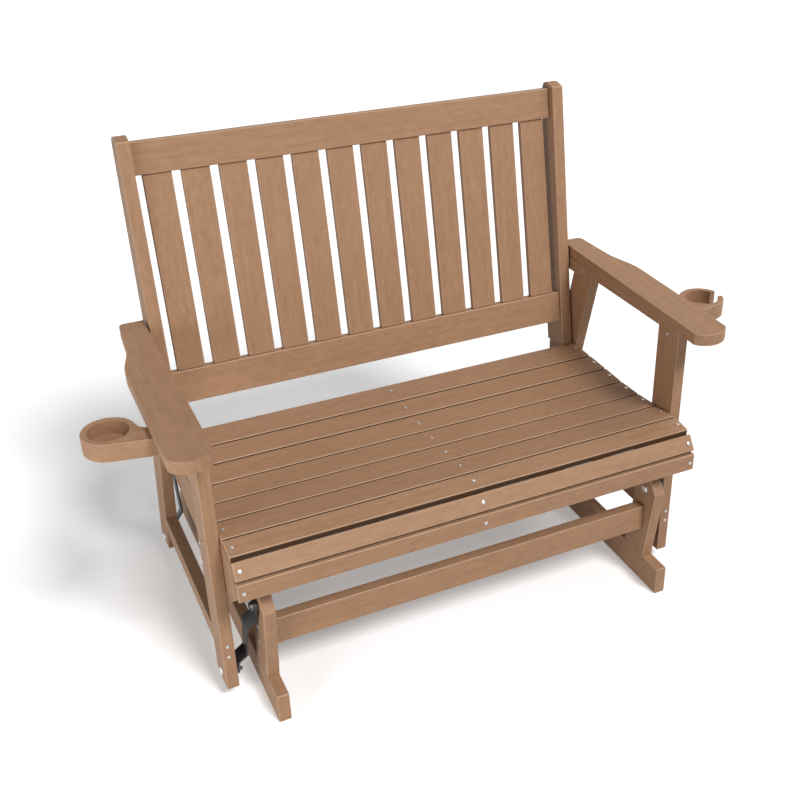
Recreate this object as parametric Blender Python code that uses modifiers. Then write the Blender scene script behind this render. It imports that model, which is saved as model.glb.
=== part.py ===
"""Two-seat outdoor glider bench of plastic lumber boards, hung on four steel links.

The bench faces -Y. Its base stands on two runners. The seat frame hangs from the base
on four joggled links, so that it glides forwards and backwards in a flat arc.
Sizes are metres and angles are degrees. Z = 0 is the floor and X = 0 the middle.
"""
import math
from typing import NamedTuple

import bmesh
import bpy
from mathutils import Matrix, Vector

# Clearances
GAP = 0.0003                 # left between faces that touch
HOLE_CLEARANCE = 0.0003      # of a bolt hole round its shank, on the radius
PLAY = 0.0038                # extra radius of the rear links' lower holes

# Board stock
BOARD = 0.025                # thickness of the frame boards
BOARD_WIDTH = 0.072          # width of posts, uprights and stiles
SLAT = 0.015                 # thickness of the seat and back slats
EDGE = 0.0015                # bevel along the boards' edges

# Widths across the bench
SEAT_CLEAR = 0.990           # between the inner faces of the posts
LINK_BAY = 0.047             # from a base upright to the post beside it
SLAT_END_CLEARANCE = 0.0008  # from a seat slat's end to the post
STILE_GAP = 0.0036           # from a back stile to the post beside it

# Swing links, from the lower pivots up
LOWER_PIVOT_HEIGHT = 0.052
FRONT_PIVOT_REACH = 0.256    # lower front pivots, in front of the middle
REAR_PIVOT_REACH = 0.236     # lower rear pivots, behind the middle
LINK_LENGTH = 0.1995         # between a link's two pivots
LINK_SPLAY = 18.7            # lean of each link, upper end outwards
LINK_WIDTH = 0.030
LINK_THICKNESS = 0.004
LINK_TOP_FLAT = 0.028        # straight below the upper pivot
LINK_FOOT_FLAT = 0.034       # straight above the lower pivot
LINK_JOG = 0.019             # length of each slanting step
SPACER = 0.0045              # collar between a link and the board beside it

# Pivot bolts
BOLT_RADIUS = 0.004
HEAD_RADIUS = 0.009
HEAD_HEIGHT = 0.0045
COLLAR_RADIUS = 0.0105
NUT_RADIUS = 0.0105          # of the nut's washer face
NUT_HEIGHT = 0.006

# Base
RUNNER_HEIGHT = 0.066
FRONT_OVERHANG = 0.058       # of a runner past the foot of the front upright
REAR_OVERHANG = 0.078        # of a runner past the foot of the rear upright
UPRIGHT_LEAN = 8.8
UPRIGHT_SHIFT = 0.003        # of an upright's middle line past its pivot
FRONT_OVER_PIVOT = 0.044     # from the front upper pivots to their uprights' tops
REAR_OVER_PIVOT = 0.026
CHAMFER_RISE = 0.042         # of the sloping cut on an upright's outer top corner
CHAMFER_RUN = 0.034
STRETCHER_HEIGHT = 0.061
STRETCHER_OVER_RUNNER = 0.071

# Posts and rails of the moving frame
POST_SHIFT = 0.002           # of the front post's middle line behind its pivot
FRONT_POST_FOOT = 0.023      # from the lower pivot down to the post's end
REAR_POST_FOOT = 0.011
REAR_POST_LEAN = 15.4
LOW_RAIL_RISE = 0.052        # of the lower side rail over the lower pivots
LOW_RAIL_HEIGHT = 0.040
ARM_RAIL_HEIGHT = 0.017

# Arms
ARM_TOP = 0.620
ARM_WIDTH = 0.079
ARM_REAR_WIDTH = 0.0495
ARM_WAIST_WIDTH = 0.058      # where the outer edge starts to sweep outwards
ARM_REAR_END = 0.200         # behind the middle
ARM_SHOULDER = 0.352         # outer end of the round nose, in front of the middle
ARM_NOSE_SKEW = 0.0055       # inner end of the nose, in front of its outer end
ARM_NOSE = 0.0215            # bulge of the round nose
SWEEP_REAR = 0.070           # the arm starts to widen here, behind the middle
SWEEP_LENGTH = 0.075
SWEEP_RADIUS = 0.150
RIGHT_ARM_TURN = 1.7         # of the right arm, its nose towards the seat
RIGHT_ARM_HINGE = 0.048      # where that turn leaves the inner edge, behind the middle
ARM_REAR_CORNER = 0.012
ARM_FRONT_CORNER = 0.005

# Cup holders
CUP_WELL_RADIUS = 0.037
CUP_WALL = 0.0115
CUP_HEIGHT = 0.036
CUP_FLOOR = 0.006
CUP_REACH = 0.064            # from the arm's edge to the middle of the well
CUP_FORWARD = 0.172          # middle of the well, in front of the middle
TAB_FORWARD = 0.0725         # front corner of the tab, in front of the well's middle
TAB_WIDTH = 0.0525
TAB_CLEARANCE = 0.005        # between the tab and the post
NECK_RADIUS = 0.029          # hollow corner between the ring and the tab
SLOT_WIDTH = 0.026           # mug-handle slot of the right holder

# Seat
SEAT_TOP = 0.3855            # top of the rear seat slat
SEAT_REAR = 0.117            # rear edge of the rear seat slat, behind the middle
SLAT_SPACING = 0.0048        # between the seat slats' lower edges
LIP_SPACING = 0.0004         # the same where the seat rolls over its front edge
REAR_SLAT_WIDTH = 0.075
SEAT_SLAT_WIDTH = 0.065
LIP_SLAT_WIDTHS = (0.046, 0.034, 0.038)
SEAT_TILTS = (0.0, -1.0, -1.0, 2.0, 5.0, 6.0)
LIP_TILTS = (-8.0, -57.0, -90.0)
SEAT_RAIL_UNDERSIDE = 0.265
SEAT_RAIL_REAR_LIFT = 0.029  # rise of the rail's underside at its rear end
SEAT_RAIL_NOSE = 0.050       # rising stretch of the underside, from the front
SEAT_RAIL_STRAIGHT = 0.320   # end of the underside's level stretch, from the front

# Back
BACK_LEAN = 10.1             # of the rails and slats
STILE_LEAN = 8.75
STILE = 0.027                # thickness of a stile
STILE_DROP = 0.003           # of the stile's foot below the seat's top
STILE_LENGTH = 0.6191
STILE_STRAIGHT = 0.250       # full width up to here, narrower above
STILE_TAPER = 0.026          # taken off the rear edge at the tip
STILE_NOSE_DROP = 0.009      # of the sloping cut on the stile's front top corner
STILE_NOSE_RUN = 0.022
STILE_CORNER = 0.020         # of the stile's rear top corner
LOWER_RAIL_RISE = 0.064      # of the lower back rail over the stile's foot
LOWER_RAIL_WIDTH = 0.0705
TOP_RAIL_WIDTH = 0.065
TOP_RAIL_DROP = 0.0121       # of the top rail below the stile's tip
RAIL_SETBACK = 0.0035        # of the rails' faces behind the stiles' edges
SLAT_SETBACK = 0.0048        # of the slats' faces behind the rails' faces
BACK_SLAT_WIDTH = 0.0576
BACK_SLAT_COUNT = 12
END_SPACE = 0.834            # beside each stile, as a share of the space between slats

# Fineness of round shapes
ARC_STEP = 12.0
BOLT_SIDES = 12
WELL_SIDES = 32

# Values that follow from the sizes above
SEAT_HALF = SEAT_CLEAR / 2
POST_OUTER = SEAT_HALF + BOARD
SIDE_BOARD_OUTER = SEAT_HALF - GAP
SIDE_BOARD_INNER = SIDE_BOARD_OUTER - BOARD
BASE_OUTER = SEAT_HALF - LINK_BAY
BASE_INNER = BASE_OUTER - BOARD
LINK_DROP = LINK_LENGTH * math.cos(math.radians(LINK_SPLAY))
LINK_OFFSET = LINK_LENGTH * math.sin(math.radians(LINK_SPLAY))
UPPER_PIVOT_HEIGHT = LOWER_PIVOT_HEIGHT + LINK_DROP
LOWER_PIVOT_Y = {"front": -FRONT_PIVOT_REACH, "rear": REAR_PIVOT_REACH}
UPPER_PIVOT_Y = {"front": -FRONT_PIVOT_REACH - LINK_OFFSET, "rear": REAR_PIVOT_REACH + LINK_OFFSET}
OUTWARD = {"front": -1, "rear": 1}
SIDES = {"left": -1, "right": 1}
ARM_UNDERSIDE = ARM_TOP - BOARD
HOLE_RADIUS = BOLT_RADIUS + HOLE_CLEARANCE


class Look(NamedTuple):
    """Colour and sheen of one material."""

    name: str
    colour: tuple[float, float, float]
    roughness: float
    metallic: float


LUMBER = Look("poly_lumber", (0.367, 0.205, 0.119), 0.65, 0.0)
LINK_STEEL = Look("coated_steel", (0.018, 0.020, 0.021), 0.40, 0.7)
STAINLESS = Look("stainless_steel", (0.52, 0.51, 0.49), 0.30, 1.0)


def clear_scene() -> None:
    """Remove every object of the starting scene."""
    for obj in list(bpy.data.objects):
        bpy.data.objects.remove(obj, do_unlink=True)


def new_collection(name: str) -> bpy.types.Collection:
    """Return a new collection linked to the scene."""
    collection = bpy.data.collections.new(name)
    bpy.context.scene.collection.children.link(collection)
    return collection


clear_scene()
PARTS = new_collection("outdoor_glider_bench")
CUTTERS = new_collection("cutters")


def set_look(obj: bpy.types.Object, look: Look) -> None:
    """Give an object its own material of the given look."""
    material = bpy.data.materials.new(f"{obj.name}_{look.name}")
    material.use_nodes = True
    shader = next(node for node in material.node_tree.nodes if node.type == "BSDF_PRINCIPLED")
    shader.inputs["Base Color"].default_value = (*look.colour, 1.0)
    shader.inputs["Roughness"].default_value = look.roughness
    shader.inputs["Metallic"].default_value = look.metallic
    obj.data.materials.clear()
    obj.data.materials.append(material)


def attach(obj: bpy.types.Object, parent: bpy.types.Object | None) -> None:
    """Parent an object without moving it."""
    if parent is None:
        return
    bpy.context.view_layer.update()
    obj.parent = parent
    obj.matrix_parent_inverse = parent.matrix_world.inverted()


def new_empty(name: str, location: tuple[float, float, float], parent=None) -> bpy.types.Object:
    """Return an empty on a joint's axis, to carry one moving body."""
    empty = bpy.data.objects.new(name, None)
    empty.empty_display_size = 0.05
    empty.location = location
    PARTS.objects.link(empty)
    attach(empty, parent)
    return empty


def bevel_edges(obj: bpy.types.Object, width: float = EDGE) -> None:
    """Bevel the sharp edges of a board."""
    bevel = obj.modifiers.new("edges", "BEVEL")
    bevel.width = width
    bevel.segments = 1
    bevel.limit_method = "ANGLE"
    bevel.angle_limit = math.radians(30)


def box(name: str, low, high, look: Look, parent=None) -> bpy.types.Object:
    """Make a board as a bevelled box between two corners."""
    mesh = bpy.data.meshes.new(name)
    shape = bmesh.new()
    bmesh.ops.create_cube(shape, size=1.0)
    bmesh.ops.scale(shape, vec=Vector(high) - Vector(low), verts=shape.verts)
    shape.to_mesh(mesh)
    shape.free()
    obj = bpy.data.objects.new(name, mesh)
    obj.location = (Vector(low) + Vector(high)) / 2
    PARTS.objects.link(obj)
    set_look(obj, look)
    bevel_edges(obj)
    attach(obj, parent)
    return obj


def arc(centre, radius: float, start: float, end: float) -> list[tuple[float, float]]:
    """Return points along an arc, both ends included. Angles are degrees."""
    steps = max(2, round(abs(end - start) / ARC_STEP))
    angles = [math.radians(start + (end - start) * i / steps) for i in range(steps + 1)]
    return [(centre[0] + radius * math.cos(a), centre[1] + radius * math.sin(a)) for a in angles]


def fillet(before, corner, after, radius: float) -> list[tuple[float, float]]:
    """Return the points that round one corner, held within half of each edge."""
    corner = Vector(corner)
    back = Vector(before) - corner
    ahead = Vector(after) - corner
    half_angle = back.angle(ahead) / 2
    tangent = min(radius / math.tan(half_angle), 0.49 * back.length, 0.49 * ahead.length)
    radius = tangent * math.tan(half_angle)
    middle = (back.normalized() + ahead.normalized()).normalized()
    centre = corner + middle * radius / math.sin(half_angle)
    first = corner + back.normalized() * tangent - centre
    turn = first.angle_signed(corner + ahead.normalized() * tangent - centre)
    steps = max(2, round(math.degrees(abs(turn)) / ARC_STEP))
    spins = [Matrix.Rotation(-turn * i / steps, 2) for i in range(steps + 1)]
    return [tuple(centre + spin @ first) for spin in spins]


def rounded(corners) -> list[tuple[float, float]]:
    """Turn (a, b, radius) corners into outline points; a radius of 0 stays sharp."""
    points = []
    for index, (a, b, radius) in enumerate(corners):
        if radius == 0:
            points.append((a, b))
            continue
        after = corners[(index + 1) % len(corners)]
        points += fillet(corners[index - 1][:2], (a, b), after[:2], radius)
    return points


def outline_curve(name: str, points, thickness: float) -> bpy.types.Object:
    """Return a filled flat outline, extruded to both sides of its plane."""
    curve = bpy.data.curves.new(name, "CURVE")
    curve.dimensions = "2D"
    curve.fill_mode = "BOTH"
    curve.extrude = thickness / 2
    spline = curve.splines.new("POLY")
    spline.points.add(len(points) - 1)
    for point, (a, b) in zip(spline.points, points):
        point.co = (a, b, 0, 1)
    spline.use_cyclic_u = True
    obj = bpy.data.objects.new(name, curve)
    PARTS.objects.link(obj)
    return obj


def as_mesh(source: bpy.types.Object) -> bpy.types.Object:
    """Replace a curve or a modified object by its finished, welded mesh."""
    name = source.name
    bpy.context.view_layer.update()
    depsgraph = bpy.context.evaluated_depsgraph_get()
    mesh = bpy.data.meshes.new_from_object(source.evaluated_get(depsgraph))
    shape = bmesh.new()
    shape.from_mesh(mesh)
    bmesh.ops.remove_doubles(shape, verts=shape.verts, dist=0.00001)
    bmesh.ops.recalc_face_normals(shape, faces=shape.faces)
    shape.to_mesh(mesh)
    shape.free()
    obj = bpy.data.objects.new(name, mesh)
    obj.matrix_world = source.matrix_world
    bpy.data.objects.remove(source, do_unlink=True)
    obj.name = name
    mesh.shade_smooth()
    mesh.set_sharp_from_angle(angle=math.radians(30))
    PARTS.objects.link(obj)
    return obj


def side_plank(name: str, points, x_inner: float, side: int, look: Look, parent=None,
               bevelled: bool = True, thickness: float = BOARD) -> bpy.types.Object:
    """Make a board that stands fore and aft, from its outline in Y and Z."""
    curve = outline_curve(name, points, thickness)
    curve.rotation_euler = (math.radians(90), 0, math.radians(90))
    curve.location.x = side * (x_inner + thickness / 2)
    obj = as_mesh(curve)
    set_look(obj, look)
    if bevelled:
        bevel_edges(obj)
    attach(obj, parent)
    return obj


def flat_plank(name: str, points, z_low: float, thickness: float, look: Look,
               parent=None) -> bpy.types.Object:
    """Make a level board from its outline in X and Y."""
    curve = outline_curve(name, points, thickness)
    curve.location.z = z_low + thickness / 2
    obj = as_mesh(curve)
    set_look(obj, look)
    bevel_edges(obj)
    attach(obj, parent)
    return obj


def make_cutter(obj: bpy.types.Object, parent=None) -> bpy.types.Object:
    """Turn an object into a hidden cutter."""
    for collection in list(obj.users_collection):
        collection.objects.unlink(obj)
    CUTTERS.objects.link(obj)
    obj.hide_render = True
    obj.display_type = "WIRE"
    attach(obj, parent)
    return obj


def drum(name: str, centre, radius: float, length: float, axis: str, sides: int) -> bpy.types.Object:
    """Return a cylinder along X or Z as a cutter."""
    mesh = bpy.data.meshes.new(name)
    shape = bmesh.new()
    bmesh.ops.create_cone(shape, cap_ends=True, segments=sides, radius1=radius, radius2=radius,
                          depth=length)
    if axis == "X":
        bmesh.ops.rotate(shape, verts=shape.verts, matrix=Matrix.Rotation(math.radians(90), 3, "Y"))
    shape.to_mesh(mesh)
    shape.free()
    obj = bpy.data.objects.new(name, mesh)
    obj.location = centre
    return make_cutter(obj)


def combine(obj: bpy.types.Object, other: bpy.types.Object, operation: str = "DIFFERENCE") -> None:
    """Cut an object with a cutter, or keep what both share."""
    boolean = obj.modifiers.new(other.name, "BOOLEAN")
    boolean.operation = operation
    boolean.solver = "EXACT"
    boolean.object = other


def pivot_hole(name: str, x: float, y: float, z: float, radius: float) -> bpy.types.Object:
    """Return the cutter of a bolt hole through a board and the link beside it."""
    return drum(name, (x, y, z), radius, 2 * (BOARD + SPACER + LINK_THICKNESS), "X", BOLT_SIDES)


def pivot_bolt(name: str, x: float, y: float, z: float, direction: int,
               parent=None) -> bpy.types.Object:
    """Turn one bolt with its head, spacer collar and nut, seen from its head face."""
    link_face = BOARD + SPACER
    nut_face = link_face + LINK_THICKNESS + GAP
    dome = [(HEAD_RADIUS * math.sin(math.radians(a)), GAP + HEAD_HEIGHT * math.cos(math.radians(a)))
            for a in (0, 35, 65, 90)]
    profile = dome + [
        (BOLT_RADIUS, GAP),
        (BOLT_RADIUS, -BOARD - GAP),
        (COLLAR_RADIUS, -BOARD - GAP),
        (COLLAR_RADIUS, -link_face + GAP),
        (BOLT_RADIUS, -link_face + GAP),
        (BOLT_RADIUS, -nut_face),
        (NUT_RADIUS, -nut_face),
        (NUT_RADIUS, -nut_face - NUT_HEIGHT),
        (0, -nut_face - NUT_HEIGHT),
    ]
    mesh = bpy.data.meshes.new(name)
    edges = [(i, i + 1) for i in range(len(profile) - 1)]
    mesh.from_pydata([(r, 0, height) for r, height in profile], edges, [])
    obj = bpy.data.objects.new(name, mesh)
    PARTS.objects.link(obj)
    obj.location = (x, y, z)
    obj.rotation_euler.y = math.radians(-90 * direction)
    screw = obj.modifiers.new("turn", "SCREW")
    screw.steps = BOLT_SIDES
    screw.render_steps = BOLT_SIDES
    screw.use_merge_vertices = True
    screw.merge_threshold = 0.00001
    obj = as_mesh(obj)
    set_look(obj, STAINLESS)
    attach(obj, parent)
    return obj


def lean_line(y: float, z: float, lean: float, height: float) -> float:
    """Return Y at a height on a line through (y, z) that leans forwards by an angle."""
    return y - (height - z) * math.tan(math.radians(lean))


class Base:
    """Fixed frame: two runners, four uprights and two stretchers."""

    def __init__(self) -> None:
        self.foot = RUNNER_HEIGHT + GAP
        self.top = {"front": UPPER_PIVOT_HEIGHT + FRONT_OVER_PIVOT,
                    "rear": UPPER_PIVOT_HEIGHT + REAR_OVER_PIVOT}
        self.half_width = BOARD_WIDTH / 2 / math.cos(math.radians(UPRIGHT_LEAN))
        self.uprights = {}

    def middle(self, end: str, height: float) -> float:
        """Return Y of an upright's middle line at a height."""
        out = OUTWARD[end]
        start = UPPER_PIVOT_Y[end] + out * UPRIGHT_SHIFT
        return lean_line(start, UPPER_PIVOT_HEIGHT, -out * UPRIGHT_LEAN, height)

    def upright_outline(self, end: str) -> list[tuple[float, float]]:
        """Return an upright's outline, with its outer top corner cut off."""
        edge = OUTWARD[end] * self.half_width
        top = self.top[end]
        shoulder = top - CHAMFER_RISE
        shoulder_edge = self.middle(end, shoulder) + edge
        return [
            (self.middle(end, self.foot) + edge, self.foot),
            (shoulder_edge, shoulder),
            (shoulder_edge - OUTWARD[end] * CHAMFER_RUN, top),
            (self.middle(end, top) - edge, top),
            (self.middle(end, self.foot) - edge, self.foot),
        ]

    def build(self) -> None:
        """Make every board of the base."""
        front = self.middle("front", self.foot) - self.half_width - FRONT_OVERHANG
        rear = self.middle("rear", self.foot) + self.half_width + REAR_OVERHANG
        for side, sign in SIDES.items():
            near, far = sorted((sign * BASE_INNER, sign * BASE_OUTER))
            box(f"{side}_runner", (near, front, 0), (far, rear, RUNNER_HEIGHT), LUMBER)
            for end in OUTWARD:
                name = f"{side}_{end}_base_upright"
                outline = self.upright_outline(end)
                self.uprights[side, end] = side_plank(name, outline, BASE_INNER, sign, LUMBER)
        half_length = BASE_INNER - GAP
        low = RUNNER_HEIGHT + STRETCHER_OVER_RUNNER
        high = low + STRETCHER_HEIGHT
        for end in OUTWARD:
            y = self.middle(end, (low + high) / 2)
            box(f"{end}_stretcher", (-half_length, y - BOARD / 2, low),
                (half_length, y + BOARD / 2, high), LUMBER)


class Link:
    """One joggled flat bar, its origin on its upper pivot."""

    def __init__(self, side: str, end: str) -> None:
        self.side = SIDES[side]
        self.name = f"{side}_{end}_link"
        self.pivot = (0, UPPER_PIVOT_Y[end], UPPER_PIVOT_HEIGHT)
        self.turn = -OUTWARD[end] * math.radians(LINK_SPLAY)
        self.upper_plane = BASE_OUTER + SPACER + LINK_THICKNESS / 2
        self.lower_plane = SEAT_HALF - SPACER - LINK_THICKNESS / 2

    def centre_line(self) -> list[tuple[float, float]]:
        """Return the joggled line of the bar as (X, Z) below the upper pivot."""
        middle_plane = (self.upper_plane + self.lower_plane) / 2
        foot_start = -LINK_LENGTH + LINK_FOOT_FLAT
        return [
            (self.upper_plane, LINK_WIDTH / 2),
            (self.upper_plane, -LINK_TOP_FLAT),
            (middle_plane, -LINK_TOP_FLAT - LINK_JOG),
            (middle_plane, foot_start + LINK_JOG),
            (self.lower_plane, foot_start),
            (self.lower_plane, -LINK_LENGTH - LINK_WIDTH / 2),
        ]

    def section(self) -> list[tuple[float, float]]:
        """Return the bar's outline in X and Z: the centre line, offset to both sides."""
        line = [Vector(point) for point in self.centre_line()]
        inner, outer = [], []
        for index, point in enumerate(line):
            before = (point - line[max(index - 1, 0)]).normalized()
            after = (line[min(index + 1, len(line) - 1)] - point).normalized()
            along = (before + after).normalized()
            normal = Vector((-along.y, along.x))
            stretch = max(along.dot(before), along.dot(after))
            offset = normal * LINK_THICKNESS / 2 / stretch
            inner.append(point - offset)
            outer.append(point + offset)
        return [(self.side * p.x, p.y) for p in inner + outer[::-1]]

    def build(self) -> bpy.types.Object:
        """Make the bar and round its ends."""
        strip = outline_curve(self.name, self.section(), LINK_WIDTH)
        strip.rotation_euler.x = math.radians(90)
        bar = as_mesh(strip)
        bar.data.transform(bar.matrix_world)
        bar.matrix_world = Matrix()
        set_look(bar, LINK_STEEL)
        radius = LINK_WIDTH / 2
        ends = arc((0, 0), radius, 0, 180) + arc((0, -LINK_LENGTH), radius, 180, 360)
        blank = outline_curve(f"{self.name}_blank", ends, 2 * self.lower_plane + LINK_BAY)
        blank.rotation_euler = (math.radians(90), 0, math.radians(90))
        shaper = make_cutter(as_mesh(blank), bar)
        combine(bar, shaper, "INTERSECT")
        bar.location = self.pivot
        bar.rotation_euler.x = self.turn
        bpy.context.view_layer.update()
        return bar


class SeatFrame:
    """Everything that swings: posts, rails, arms, cup holders, seat and back."""

    def __init__(self, carrier: bpy.types.Object) -> None:
        self.carrier = carrier
        self.front_post_y = LOWER_PIVOT_Y["front"] + POST_SHIFT
        self.rear_half_width = BOARD_WIDTH / 2 / math.cos(math.radians(REAR_POST_LEAN))
        self.back_front_y = SEAT_REAR + 2 * GAP
        self.stile_foot = SEAT_TOP - STILE_DROP
        self.stile_inner = SEAT_HALF - STILE_GAP - STILE
        self.posts = {}

    def rear_post_y(self, height: float) -> float:
        """Return Y of the rear post's middle line at a height."""
        return lean_line(LOWER_PIVOT_Y["rear"], LOWER_PIVOT_HEIGHT, REAR_POST_LEAN, height)

    def rear_post_front(self, height: float) -> float:
        """Return Y of the rear post's front edge at a height."""
        return self.rear_post_y(height) - self.rear_half_width

    def build_posts(self, side: str, sign: int) -> None:
        """Make the two posts and the two rails between them on one side."""
        near, far = sorted((sign * SEAT_HALF, sign * POST_OUTER))
        top = ARM_UNDERSIDE - GAP
        front_edge = self.front_post_y - BOARD_WIDTH / 2
        rear_edge = self.front_post_y + BOARD_WIDTH / 2
        foot = LOWER_PIVOT_HEIGHT - FRONT_POST_FOOT
        self.posts[side, "front"] = box(f"{side}_front_post", (near, front_edge, foot),
                                        (far, rear_edge, top), LUMBER, self.carrier)
        foot = LOWER_PIVOT_HEIGHT - REAR_POST_FOOT
        outline = [(self.rear_post_y(height) + edge, height)
                   for height, edge in ((foot, -self.rear_half_width), (top, -self.rear_half_width),
                                        (top, self.rear_half_width), (foot, self.rear_half_width))]
        self.posts[side, "rear"] = side_plank(f"{side}_rear_post", outline, SEAT_HALF, sign,
                                              LUMBER, self.carrier)
        low = LOWER_PIVOT_HEIGHT + LOW_RAIL_RISE
        self.build_side_rail(f"{side}_lower_side_rail", sign, low, low + LOW_RAIL_HEIGHT)
        self.build_side_rail(f"{side}_arm_rail", sign, top - ARM_RAIL_HEIGHT, top)

    def build_side_rail(self, name: str, sign: int, low: float, high: float) -> None:
        """Make a rail between the front post and the leaning rear post."""
        start = self.front_post_y + BOARD_WIDTH / 2 + GAP
        outline = [
            (start, low),
            (self.rear_post_front(low) - GAP, low),
            (self.rear_post_front(high) - GAP, high),
            (start, high),
        ]
        side_plank(name, outline, SEAT_HALF, sign, LUMBER, self.carrier)

    def arm_nose(self, inner: float, outer: float) -> list[tuple[float, float]]:
        """Return the arc between the two front corners of an arm, corners left out."""
        start = Vector((outer, -ARM_SHOULDER))
        end = Vector((inner, -ARM_SHOULDER - ARM_NOSE_SKEW))
        chord = end - start
        radius = (chord.length_squared / 4 + ARM_NOSE**2) / (2 * ARM_NOSE)
        ahead = Vector((-chord.y, chord.x)).normalized()
        centre = (start + end) / 2 + ahead * (ARM_NOSE - radius)
        angles = [math.degrees(math.atan2(p.y - centre.y, p.x - centre.x)) for p in (start, end)]
        return arc(centre, radius, *angles)[1:-1]

    def build_arm(self, side: str, sign: int) -> None:
        """Make an arm board: narrow behind, wide in front, with a round nose."""
        outer = SEAT_HALF + ARM_WIDTH
        corners = [
            (SEAT_HALF, ARM_REAR_END, 0),
            (SEAT_HALF + ARM_REAR_WIDTH, ARM_REAR_END, ARM_REAR_CORNER),
            (SEAT_HALF + ARM_WAIST_WIDTH, SWEEP_REAR, SWEEP_RADIUS),
            (outer, SWEEP_REAR - SWEEP_LENGTH, SWEEP_RADIUS),
            (outer, -ARM_SHOULDER, ARM_FRONT_CORNER),
            *((x, y, 0) for x, y in self.arm_nose(SEAT_HALF, outer)),
            (SEAT_HALF, -ARM_SHOULDER - ARM_NOSE_SKEW, 0),
        ]
        turn = RIGHT_ARM_TURN if side == "right" else 0
        spin = Matrix.Rotation(math.radians(-turn), 2)
        hinge = Vector((SEAT_HALF, RIGHT_ARM_HINGE))
        turned = [hinge + spin @ (Vector(point) - hinge) for point in rounded(corners)]
        points = [(sign * point.x, point.y) for point in turned]
        flat_plank(f"{side}_arm", points, ARM_UNDERSIDE, BOARD, LUMBER, self.carrier)

    def build_cup_holder(self, side: str, sign: int) -> None:
        """Make a cup holder: a ring on a tab that lies under the arm."""
        ring = CUP_WELL_RADIUS + CUP_WALL
        centre = Vector((SEAT_HALF + ARM_WIDTH + CUP_REACH, -CUP_FORWARD))
        tab_x = POST_OUTER + TAB_CLEARANCE
        tab_front = centre.y - TAB_FORWARD
        tab_rear = tab_front + TAB_WIDTH
        front_corner = Vector((tab_x, tab_front))
        to_corner = front_corner - centre
        bearing = math.degrees(math.atan2(to_corner.y, to_corner.x))
        front_touch = bearing + math.degrees(math.acos(ring / to_corner.length))
        hollow_rise = tab_rear + NECK_RADIUS - centre.y
        hollow_run = math.sqrt((ring + NECK_RADIUS) ** 2 - hollow_rise**2)
        hollow = (centre.x - hollow_run, tab_rear + NECK_RADIUS)
        rear_touch = 180 - math.degrees(math.atan2(hollow_rise, hollow_run))
        points = [tuple(front_corner)]
        points += arc(centre, ring, front_touch, rear_touch)
        points += arc(hollow, NECK_RADIUS, rear_touch - 180, -90)
        points.append((tab_x, tab_rear))
        top = ARM_UNDERSIDE - GAP
        holder = flat_plank(f"{side}_cup_holder", [(sign * x, y) for x, y in points],
                            top - CUP_HEIGHT, CUP_HEIGHT, LUMBER, self.carrier)
        depth = CUP_HEIGHT - CUP_FLOOR
        well = drum(f"{side}_cup_well", (sign * centre.x, centre.y, top), CUP_WELL_RADIUS,
                    2 * depth, "Z", WELL_SIDES)
        combine(holder, well)
        if side == "right":
            combine(holder, self.handle_slot(centre, ring, top))

    def handle_slot(self, centre: Vector, ring: float, top: float) -> bpy.types.Object:
        """Return the cutter of the slot that lets a mug's handle through wall and floor."""
        half = SLOT_WIDTH / 2
        reach = centre.x + ring + half
        points = [(reach, centre.y - half), (reach, centre.y + half)] + arc(centre, half, 90, 270)
        slot = outline_curve("handle_slot", points, 4 * CUP_HEIGHT)
        slot.location.z = top
        return make_cutter(as_mesh(slot))

    def seat_line(self) -> list[tuple[Vector, Vector, float, float]]:
        """Chain the seat slats forwards; each is (lower rear corner, direction, tilt, width)."""
        widths = [REAR_SLAT_WIDTH] + [SEAT_SLAT_WIDTH] * (len(SEAT_TILTS) - 1)
        widths += LIP_SLAT_WIDTHS
        tilts = SEAT_TILTS + LIP_TILTS
        corner = Vector((SEAT_REAR, SEAT_TOP - SLAT))
        slats = []
        for index, (width, tilt) in enumerate(zip(widths, tilts)):
            along = Vector((-math.cos(math.radians(tilt)), math.sin(math.radians(tilt))))
            slats.append((corner.copy(), along, tilt, width))
            next_tilt = math.radians((tilt + tilts[min(index + 1, len(tilts) - 1)]) / 2)
            step = Vector((-math.cos(next_tilt), math.sin(next_tilt)))
            spacing = SLAT_SPACING if index + 1 < len(SEAT_TILTS) else LIP_SPACING
            corner = corner + along * width + step * spacing
        return slats

    def build_seat_slats(self) -> None:
        """Make the seat slats, each a box turned to its tilt."""
        half_length = SEAT_HALF - SLAT_END_CLEARANCE
        for number, (corner, along, tilt, width) in enumerate(self.seat_line(), 1):
            normal = Vector((along.y, -along.x))
            centre = corner + along * width / 2 + normal * SLAT / 2
            slat = box(f"seat_slat_{number}", (-half_length, -width / 2, -SLAT / 2),
                       (half_length, width / 2, SLAT / 2), LUMBER)
            slat.location = (0, centre.x, centre.y)
            slat.rotation_euler.x = math.radians(-tilt)
            attach(slat, self.carrier)

    def seat_rail_outline(self, lug) -> list[tuple[float, float]]:
        """Return a seat rail's outline, from its lug's top along the slats and back below."""
        points = [tuple(point) for point in lug]
        for corner, along, _tilt, width in self.seat_line():
            inward = Vector((-along.y, along.x)) * GAP
            points += [tuple(corner + inward), tuple(corner + along * width + inward)]
        nose = points[-1][0]
        points += [
            (nose + SEAT_RAIL_NOSE, SEAT_RAIL_UNDERSIDE),
            (nose + SEAT_RAIL_STRAIGHT, SEAT_RAIL_UNDERSIDE),
            (points[0][0], SEAT_RAIL_UNDERSIDE + SEAT_RAIL_REAR_LIFT),
        ]
        return points

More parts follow.
